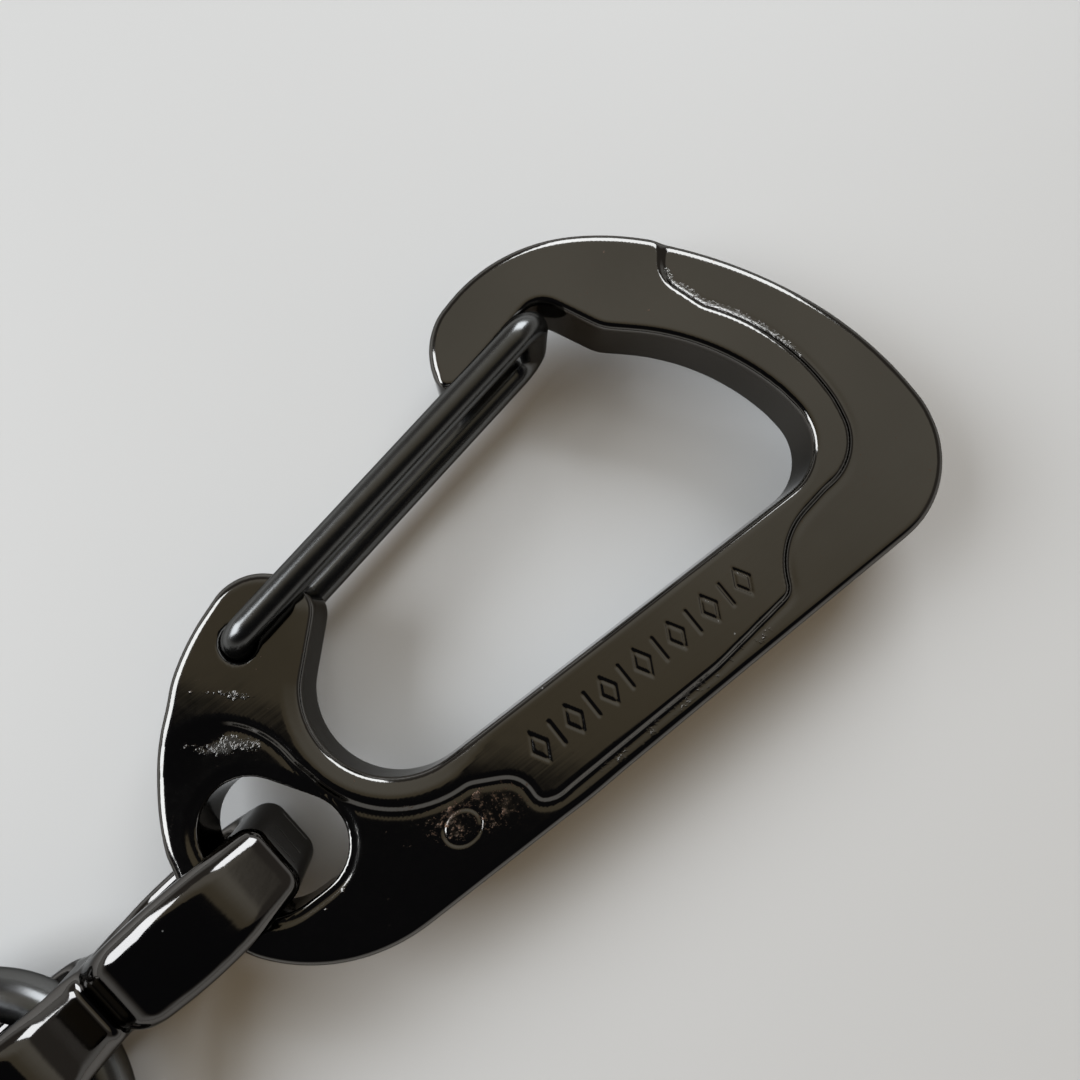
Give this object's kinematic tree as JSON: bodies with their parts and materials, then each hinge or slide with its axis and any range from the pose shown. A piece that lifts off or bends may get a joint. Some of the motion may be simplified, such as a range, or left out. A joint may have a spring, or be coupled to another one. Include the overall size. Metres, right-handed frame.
{
  "type": "carabiner keyring",
  "caption": "Cast wire-gate carabiner whose eye carries a short chain of figure-of-eight links and a round ring, ending in a split key ring.",
  "frame": {"origin": "middle of the assembly's box in plan, at the level of its lowest point as it lies", "axes": "+X along the carabiner's spine from the key ring towards the nose end, +Y from the spine towards the gate, +Z out of the carabiner's front face"},
  "size_m": [0.1486, 0.0432, 0.0151],
  "materials": {
    "cast_plate": "polished black-nickel plate",
    "cast_link": "polished black-nickel plate",
    "plated_wire": "polished black-nickel plate"
  },
  "bodies": {
    "carabiner": {"carabiner_body": "cast_plate"},
    "gate": {"wire_gate": "plated_wire"},
    "link_1": {"connector_1": "cast_link"},
    "ring": {"round_ring": "plated_wire"},
    "link_2": {"connector_2": "cast_link"},
    "key_ring": {"split_ring": "plated_wire"}
  },
  "joints": [
    {"name": "gate_pivot", "type": "hinge", "parent": "carabiner", "child": "gate", "pos_m": [0.01912, 0.00927, 0.00753], "axis": [0, 0, 1], "range_deg": [-36, 0], "stiffness_Nm_per_rad": 0.15, "springref_deg": 20.05},
    {"name": "link_1_swing", "type": "hinge", "parent": "carabiner", "child": "link_1", "pos_m": [0.00632, -0.00503, 0.00753], "axis": [-0.0436, 0.999, 0], "range_deg": [-18, 18]},
    {"name": "ring_swing", "type": "hinge", "parent": "link_1", "child": "ring", "pos_m": [-0.00913, -0.00763, 0.00598], "axis": [0, 0, 1], "range_deg": [-12, 12]},
    {"name": "link_2_swing", "type": "hinge", "parent": "ring", "child": "link_2", "pos_m": [-0.02993, -0.00763, 0.00598], "axis": [0, 1, 0], "range_deg": [-12, 12]},
    {"name": "key_ring_swing", "type": "hinge", "parent": "link_2", "child": "key_ring", "pos_m": [-0.04753, -0.00763, 0.00523], "axis": [0, 0, 1], "range_deg": [-20, 20]}
  ]
}
